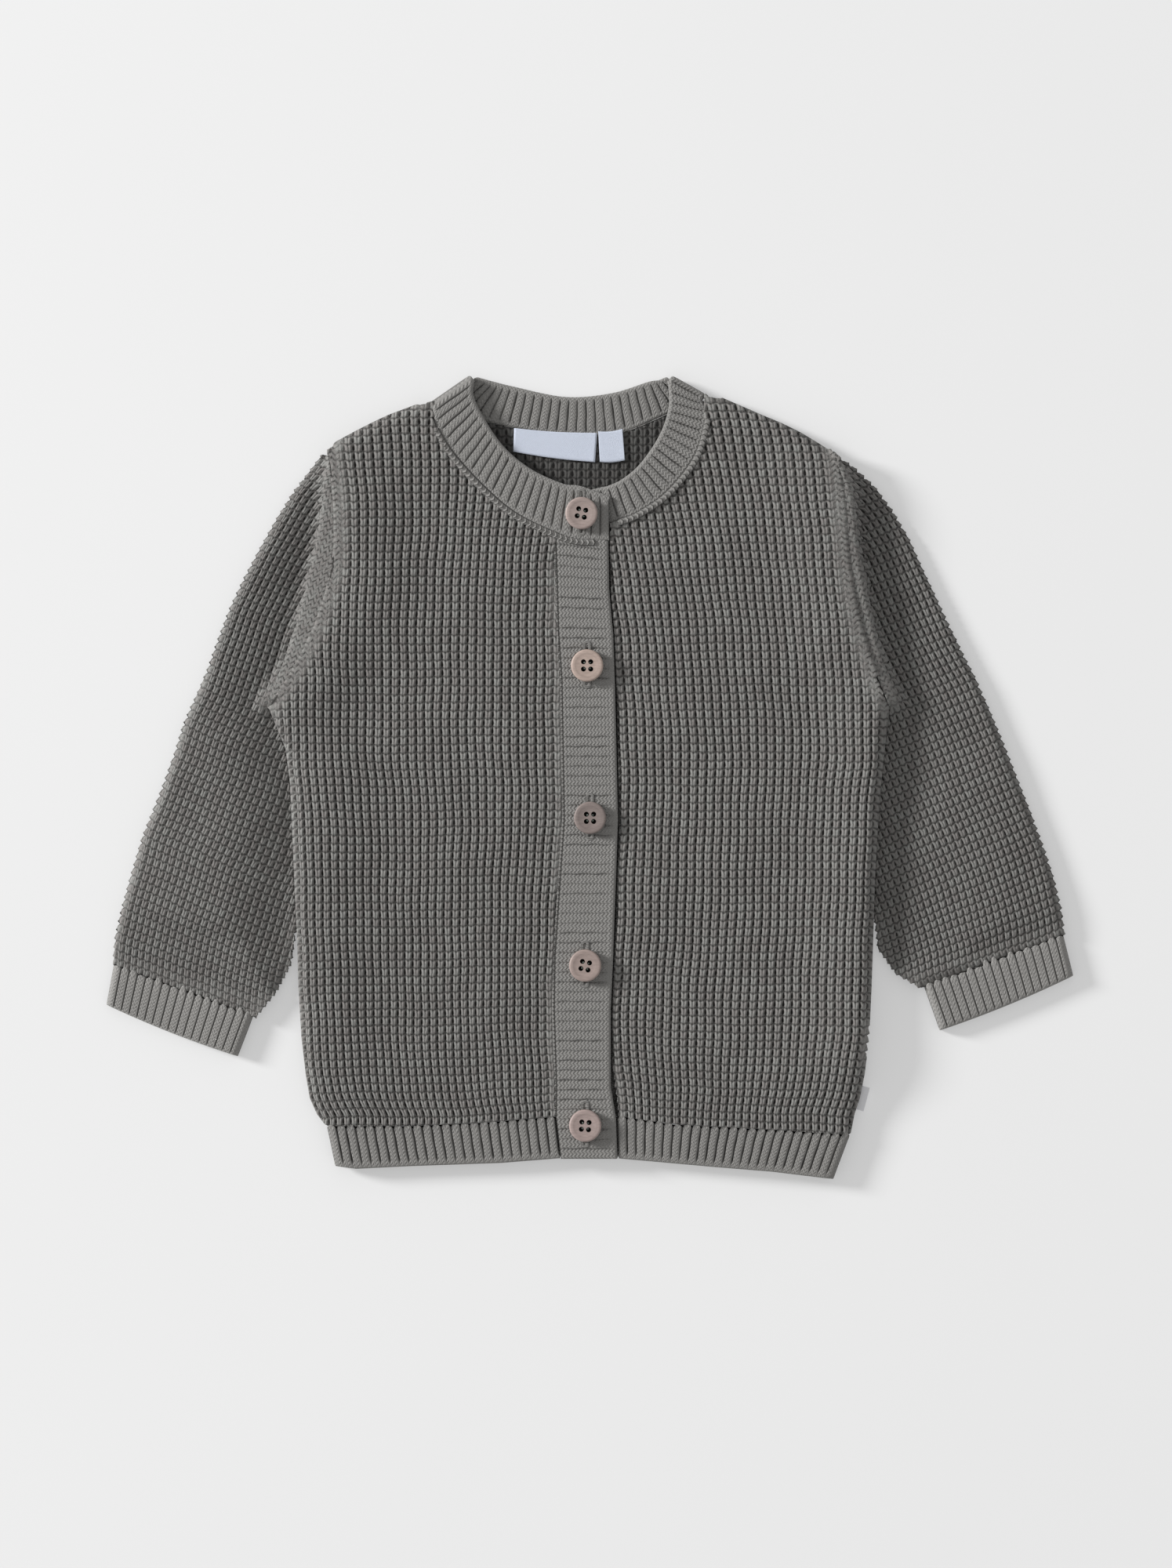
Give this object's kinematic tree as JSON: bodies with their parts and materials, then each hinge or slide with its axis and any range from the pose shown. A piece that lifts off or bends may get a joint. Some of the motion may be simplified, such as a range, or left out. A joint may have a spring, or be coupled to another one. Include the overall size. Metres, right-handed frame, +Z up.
{
  "type": "baby cardigan, laid flat",
  "caption": "Long-sleeved baby cardigan in grey waffle knit with ribbed neckband, placket, cuffs and hem, buttoned and laid flat.",
  "frame": {"origin": "centre of the garment's box in plan, on the surface that it lies on", "axes": "+X towards the wearer's left, +Y towards the neck, +Z up out of the surface, through the buttons"},
  "size_m": [0.3633, 0.3019, 0.01],
  "materials": {
    "waffle_knit": "matte cotton waffle knit",
    "rib_knit": "matte cotton rib knit",
    "button_shell": "matt turned coconut shell or wood",
    "label_ribbon": "plain woven ribbon"
  },
  "bodies": {
    "root": {"back_panel": "waffle_knit", "right_front": "waffle_knit", "left_front": "waffle_knit", "right_sleeve": "waffle_knit", "left_sleeve": "waffle_knit", "right_cuff": "rib_knit", "left_cuff": "rib_knit", "hem_right_front": "rib_knit", "hem_left_front": "rib_knit", "hem_back": "rib_knit", "neckband": "rib_knit", "buttonhole_band": "rib_knit", "button_band": "rib_knit", "button_1": "button_shell", "button_2": "button_shell", "button_3": "button_shell", "button_4": "button_shell", "button_5": "button_shell", "neck_label": "label_ribbon", "size_label": "label_ribbon", "side_label": "label_ribbon"}
  },
  "joints": []
}
